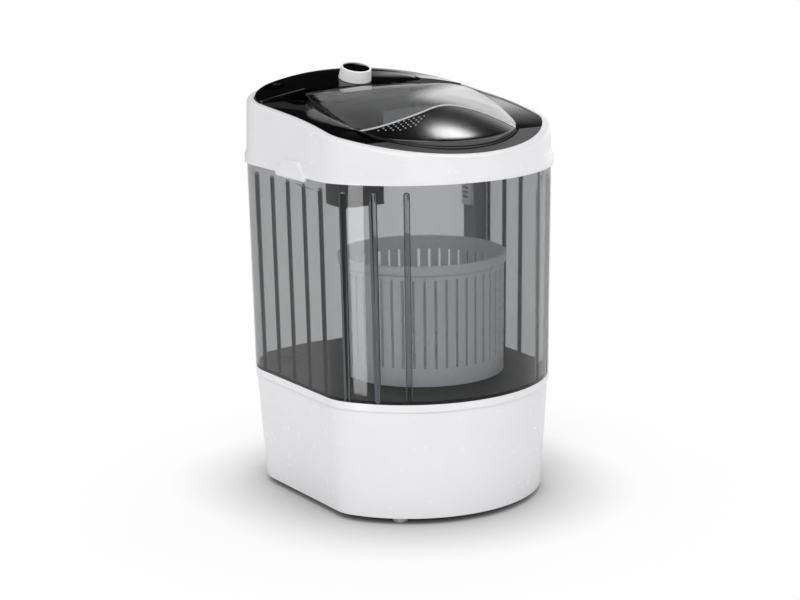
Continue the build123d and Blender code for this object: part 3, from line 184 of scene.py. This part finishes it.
finishes = {
    # ABS from a polished mould: clean white with a wide soft shine
    "white_shell": surface(
        "polishedWhiteAbs", colour="#F1F1F3", shade="#ECECEF", roughness=0.24, spread=0.04, grainDepth=0.001 * mm
    ),
    # polypropylene straight from a fine-etched mould: white, waxy, hardly shines
    "white_matte": surface("etchedWhitePolypropylene", colour="#E9E9EA", shade="#E2E2E4", roughness=0.5),
    # styrene acrylonitrile with smoke-grey dye, moulded clear: dark where walls stack up
    "tub_smoke": clearPlastic("smokyStyreneAcrylonitrile", "#6A6E73", 215.0, "#E8E9EA", 0.04, 1.38),
    # painted shade: the tub's floor is made opaque and near-black where it lies in shade, instead of clear smoky
    # styrene acrylonitrile
    "tub_floor": surface(
        "paintedFloorShade", colour="#1E2123", shade="#1B1D1F", roughness=0.42, spread=0.04, ior=1.2
    ),
    # painted shade: opaque dark grey on the ribs of the tub's sides, standing in for the dark lines that the
    # ribs show by refracting the dark surroundings
    "tub_rib_shade": surface(
        "paintedRibShade", colour="#54575B", shade="#4C4F53", roughness=0.4, spread=0.04, ior=1.3
    ),
    # acrylic with a faint smoke-grey dye, moulded clear
    "lid_clear": clearPlastic("smokyAcrylic", "#6A6E73", 60.0, "#E8E9EA", 0.03, 1.49),
    # piano-black ABS: deep black under a mirror-like skin
    "black_gloss": surface("pianoBlackAbs", colour="#040405", shade="#060607", roughness=0.06, spread=0.02),
    # black ABS with a satin lacquer: black with one wide, blurred shine
    "visor_black": surface(
        "lacqueredBlackAbs", colour="#0B0B0C", shade="#0E0E0F", roughness=0.2, spread=0.01, ior=1.7
    ),
    # white ABS, polished: painted light, a little brighter than the shell to stand in for the extra light on the
    # knob's front-facing side
    "knob_lit_white": surface(
        "knobLitWhiteAbs", colour="#FFFFFF", shade="#FCFCFD", roughness=0.3, grainDepth=0.001 * mm
    ),
    # black ABS from a sand-blasted mould: dark grey, soft sheen
    "black_satin": surface(
        "blastedBlackAbs", colour="#2A2B2B", shade="#262727", roughness=0.38, grainDepth=0.02 * mm
    ),
    # ABS plated with bright chrome
    "silver_trim": surface(
        "chromePlatedAbs", colour="#D9DADC", shade="#D2D3D6", roughness=0.1, spread=0.02, metallic=1.0
    ),
    # ABS with silver lacquer: a bright line that doesn't mirror
    "satin_silver": surface("silverLacquerAbs", colour="#D4D6D9", shade="#CDD0D3", roughness=0.4, metallic=0.3),
    # polypropylene from a polished mould: milky white, half gloss
    "basket_white": surface("polishedWhitePolypropylene", colour="#E6E8EA", shade="#DFE1E4", roughness=0.3),
    # nylon filled with glass fibre: charcoal, with a fine fibrous grain
    "dark_plastic": surface(
        "charcoalNylon", colour="#202122", shade="#262728", roughness=0.48, grainDepth=0.02 * mm
    ),
    # polypropylene with grey pigment: plain and half matte
    "grey_plastic": surface("greyPolypropylene", colour="#8F9193", shade="#888A8C", roughness=0.42),
    # EPDM rubber: dull black, dusty at its edges
    "rubber_black": surface("blackEpdmRubber", colour="#161616", shade="#1E1E1E", roughness=0.72),
    # thermoplastic rubber, off-white and matte
    "rubber_grey": surface("whiteSoftRubber", colour="#E4E4E4", shade="#DADADA", roughness=0.62),
    # turned and ground carbon steel
    "steel": surface(
        "groundSteel", colour="#A6A8AB", shade="#9A9CA0", roughness=0.3, metallic=1.0, smear=2 * mm
    ),
    # sheet steel with a zinc coat: pale grey with a faint spangle
    "zinc_plate": surface(
        "zincCoatedSheet", colour="#A9ADB0", shade="#8F9396", drift=8 * mm, roughness=0.42, metallic=1.0
    ),
    # stacked silicon steel sheets, varnished
    "laminations": surface(
        "varnishedLaminations", colour="#4B4846", shade="#3E3C3B", roughness=0.45, metallic=0.8
    ),
    # aluminium straight from the casting die: light grey, slightly pitted
    "die_cast": surface(
        "dieCastAluminium", colour="#B4B6B8", shade="#A4A6A9", roughness=0.45, metallic=1.0, grainDepth=0.03 * mm
    ),
    # oil-filled sintered bronze
    "bronze": surface("sinteredBronze", colour="#8C6A3C", shade="#7A5A30", roughness=0.5, metallic=1.0),
}
print("finishes:", len(finishes))

# three nodes look different from the rest of their slot
finishOf = {**slotOf, "lid_visor": "visor_black", "timer_knob": "knob_lit_white", "lid_trim": "satin_silver"}
for name, node in nodes.items():
    node.data.materials.clear()
    node.data.materials.append(finishes[finishOf[name]])


# pieces that keep the model's shape, merged so that their curves shade smoothly

smoothing = {
    "merge": 0.002 * mm,  # points nearer than this become one
    "flat": 0.4,  # degrees between faces that still count as one flat face
    "sharp": 32.0,  # degrees from which an edge stays sharp
}
smoothNodes = (
    "base_housing",
    "bottom_plate",
    "foot_front_left",
    "foot_front_right",
    "foot_rear_left",
    "foot_rear_right",
    "wash_tub",
    "collar",
    "control_panel",
    "front_trim",
    "console_cover",
    "timer_knob",
    "knob_cap",
    "lid_dome",
    "lid_visor",
    "lid_trim",
    "grip_pips",
    "spin_basket",
    "basket_rim",
    "basket_floor",
    "mouth_ring",
    "service_panel",
    "pulsator",
    "hinge_pin",
    "overflow_duct",
    "lint_filter",
    "timer_housing",
    "water_inlet",
    "drain_spout",
    "cord_gland",
)


def smoothed(name):
    piece = nodes[name].copy()
    piece.data = nodes[name].data.copy()
    piece.parent = None
    piece.name = name.title().replace("_", "") + "Shell"
    bpy.context.scene.collection.objects.link(piece)
    selectOnly(piece)
    bpy.ops.object.mode_set(mode="EDIT")
    bpy.ops.mesh.select_all(action="SELECT")
    bpy.ops.mesh.customdata_custom_splitnormals_clear()
    bpy.ops.mesh.remove_doubles(threshold=smoothing["merge"])
    bpy.ops.mesh.dissolve_limited(angle_limit=math.radians(smoothing["flat"]))
    bpy.ops.object.mode_set(mode="OBJECT")
    bpy.ops.object.shade_smooth_by_angle(angle=math.radians(smoothing["sharp"]))
    piece.data.materials.clear()
    piece.data.materials.append(finishes[finishOf[name]])
    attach(piece, bodyOf[name])
    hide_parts(name)
    return piece


shells = {name: smoothed(name) for name in smoothNodes}
print("smooth shells:", len(shells))


def refinish(shell, finishName, chosen):  # the faces that are chosen take another finish
    shell.data.materials.append(finishes[finishName])
    slot = len(shell.data.materials) - 1
    for face in shell.data.polygons:
        corners = [shell.data.vertices[i].co / mm for i in face.vertices]
        tall = max(c.z for c in corners) - min(c.z for c in corners)
        if chosen(face.center / mm, face.normal, tall, face.area / mm**2):
            face.material_index = slot


tubParts = {  # millimetres, by which the tub's faces are told apart
    "floorLow": 150.5,
    "floorHigh": 155.6,
    "upright": 0.9,  # least upright share of the normal of a face of the floor
    "ribTall": 100.0,
    "ribStrip": 2.4,  # greatest width of a face along a rib
    "sideFrom": 120.0,
}


def isTubFloor(spot, facing, tall, area):
    return tubParts["floorLow"] < spot.z < tubParts["floorHigh"] and abs(facing.z) > tubParts["upright"]


def isSideRib(spot, facing, tall, area):  # long narrow strips on the left and right walls
    narrow = tall > tubParts["ribTall"] and area / tall < tubParts["ribStrip"]
    return narrow and abs(spot.x) > tubParts["sideFrom"]


tub = shells["wash_tub"]
# painted shade: the faces of the tub's floor take an opaque near-black
refinish(tub, "tub_floor", isTubFloor)
# painted shade: the side ribs take an opaque dark grey in place of the dark lines their refraction shows
refinish(tub, "tub_rib_shade", isSideRib)
print("tub faces by finish:", [sum(f.material_index == i for f in tub.data.polygons) for i in range(3)])


# floor

paper = {
    "size": 6.0,
    "paintedShadowReach": 0.13,  # distance over which a painted shadow greys the floor towards the machine
    "paintedShadowSamples": 12,
    "fade": (0.15, 0.5),  # metres from the middle, where the floor's own light grows
    "light": (0.6, 1.0),  # share of that light at each end of the fade
}


def makeFloor():
    bpy.ops.object.select_all(action="DESELECT")
    bpy.ops.mesh.primitive_plane_add(size=paper["size"], location=(0, 0, 0))
    floor = bpy.context.object
    floor.name = "studioFloor"
    material, tree = newTree("whitePaperSweep")  # white paper with a painted shadow that greys it softly where the machine stands close
    near = {"Distance": paper["paintedShadowReach"], "samples": paper["paintedShadowSamples"]}
    # painted shadow: ambient occlusion greys both the floor's lit colour and its glow near the machine
    paintedShadow = addNode(tree, "ShaderNodeAmbientOcclusion", near).outputs["Color"]
    lit = addNode(tree, "ShaderNodeBsdfDiffuse", {}, {"Color": paintedShadow})
    place = addNode(tree, "ShaderNodeTexCoord").outputs["Object"]
    reach = addNode(tree, "ShaderNodeVectorMath", {"operation": "LENGTH"}, {0: place}).outputs["Value"]
    fade = ramp(tree, reach, paper["fade"], paper["light"], interpolation_type="SMOOTHSTEP")
    seen = seenRays(tree, addNode(tree, "ShaderNodeLightPath"))
    share = addNode(tree, "ShaderNodeMath", {"operation": "MULTIPLY"}, {0: seen, 1: fade})
    glow = addNode(tree, "ShaderNodeEmission", {"Strength": 1.0}, {"Color": paintedShadow})
    mixed = addNode(
        tree,
        "ShaderNodeMixShader",
        {},
        {0: share.outputs[0], 1: lit.outputs["BSDF"], 2: glow.outputs["Emission"]},
    )
    addNode(tree, "ShaderNodeOutputMaterial", {}, {"Surface": mixed.outputs["Shader"]})
    floor.data.materials.append(material)


# world: white to the camera, studio boards in what shines, an even level on what is matte

room = {
    "low": {"top": 3.0, "fade": 8.0, "level": 0.5},  # white boards all round, heights in degrees
    "tall": {"top": 20.0, "fade": 8.0, "level": 1.45},  # the tall one on the right
    "tallEnd": 145.7,  # degrees from the front, round by the right, where it ends behind the machine
    "tallEdge": 0.02,  # softness of its two ends
    "ceiling": 0.01,  # level above the boards
    "even": 0.56,  # level that matte surfaces get from all round
}


def makeWorld():
    world = bpy.data.worlds.new("studio")
    bpy.context.scene.world = world
    world.use_nodes = True
    tree = world.node_tree
    tree.nodes.clear()
    place = addNode(tree, "ShaderNodeTexCoord").outputs["Generated"]
    height = addNode(tree, "ShaderNodeSeparateXYZ", {}, {"Vector": place}).outputs["Z"]

    def board(look):  # how bright it is at this height, down to the ceiling's level
        heights = [math.sin(math.radians(angle)) for angle in (look["top"], look["top"] + look["fade"])]
        return ramp(tree, height, heights, (look["level"], room["ceiling"]))

    low, tall = board(room["low"]), board(room["tall"])
    end = math.radians(room["tallEnd"])
    dot = {"operation": "DOT_PRODUCT", 1: (math.cos(end), math.sin(end), 0.0)}
    across = addNode(tree, "ShaderNodeVectorMath", dot, {0: place}).outputs["Value"]
    side = ramp(tree, across, (-room["tallEdge"], room["tallEdge"]), (1.0, 0.0))
    boards = addNode(tree, "ShaderNodeMix", {"data_type": "FLOAT"}, {0: side, 2: low, 3: tall})
    ray = addNode(tree, "ShaderNodeLightPath")
    unseen = addNode(
        tree,
        "ShaderNodeMix",
        {"data_type": "FLOAT", 2: room["even"]},
        {0: ray.outputs["Is Glossy Ray"], 3: boards.outputs[0]},
    )
    level = addNode(
        tree,
        "ShaderNodeMix",
        {"data_type": "FLOAT", 3: 1.0},
        {0: seenRays(tree, ray), 2: unseen.outputs[0]},
    )
    sky = addNode(tree, "ShaderNodeBackground", {"Color": (1, 1, 1, 1)}, {"Strength": level.outputs[0]})
    addNode(tree, "ShaderNodeOutputWorld", {}, {"Surface": sky.outputs["Background"]})


# lamps, each at a distance from what it is aimed at

lamps = {
    "keySun": {  # broad light from the front left
        "kind": "SUN",
        "settings": {"energy": 1.35, "angle": math.radians(40)},
        "towards": (-0.55, -0.75, 1.1),
        "aim": (0.0, 0.0, 0.3),
        "distance": 2.0,
    },
    "lidSoftbox": {  # the round, blurred shine on the visor
        "kind": "AREA",
        "settings": {"energy": 2.2, "shape": "DISK", "size": 0.3},
        "towards": (0.475, 0.437, 0.764),
        "aim": (-0.017, -0.139, 0.462),
        "distance": 1.3,
    },
    "cornerStrip": {  # a tall card that only shines, on the tub's front left corner
        "kind": "AREA",
        "settings": {"energy": 1.0, "shape": "RECTANGLE", "size": 0.11, "size_y": 0.33},
        "towards": (-0.966, -0.259, 0.0),
        "aim": (-0.134, -0.117, 0.18),
        "distance": 0.5,
        "onlyShine": True,
    },
}


def addLamp(name, kind, settings, towards, aim, distance, onlyShine=False):
    lamp = bpy.data.lights.new(name, kind)
    for key, value in settings.items():
        setattr(lamp, key, value)
    holder = bpy.data.objects.new(name, lamp)
    bpy.context.scene.collection.objects.link(holder)
    direction = Vector(towards).normalized()
    holder.location = Vector(aim) + direction * distance
    holder.visible_camera = holder.visible_transmission = False
    holder.visible_diffuse = not onlyShine
    holder.rotation_mode = "QUATERNION"
    holder.rotation_quaternion = direction.to_track_quat("Z", "Y")


# camera, fitted to the photograph

cameraFit = {  # degrees, metres, and millimetres for the lens and its sensor
    "azimuth": -30.9,
    "elevation": 12.742,
    "distance": 2.56,
    "target": (0.0, 0.031, 0.2238),
    "lens": 91.27,
    "sensor": 36.0,
    "shift": (0.0062, 0.0083),
    "roll": -0.937,
}


def makeCamera():
    a, e = math.radians(cameraFit["azimuth"]), math.radians(cameraFit["elevation"])
    back = Vector((math.sin(a) * math.cos(e), -math.cos(a) * math.cos(e), math.sin(e)))
    data = bpy.data.cameras.new("photoCamera")
    data.lens = cameraFit["lens"]
    data.sensor_width = cameraFit["sensor"]
    data.shift_x, data.shift_y = cameraFit["shift"]
    holder = bpy.data.objects.new("photoCamera", data)
    bpy.context.scene.collection.objects.link(holder)
    holder.location = Vector(cameraFit["target"]) + back * cameraFit["distance"]
    facing = (-back).to_track_quat("-Z", "Y").to_matrix().to_4x4()
    roll = Matrix.Rotation(math.radians(cameraFit["roll"]), 4, "Z")
    holder.rotation_mode = "QUATERNION"
    holder.rotation_quaternion = (facing @ roll).to_quaternion()
    bpy.context.scene.camera = holder


makeFloor()
makeWorld()
for name, lamp in lamps.items():
    addLamp(name, **lamp)
makeCamera()
bpy.context.scene.view_settings.view_transform = "Standard"
print("studio and camera ready")
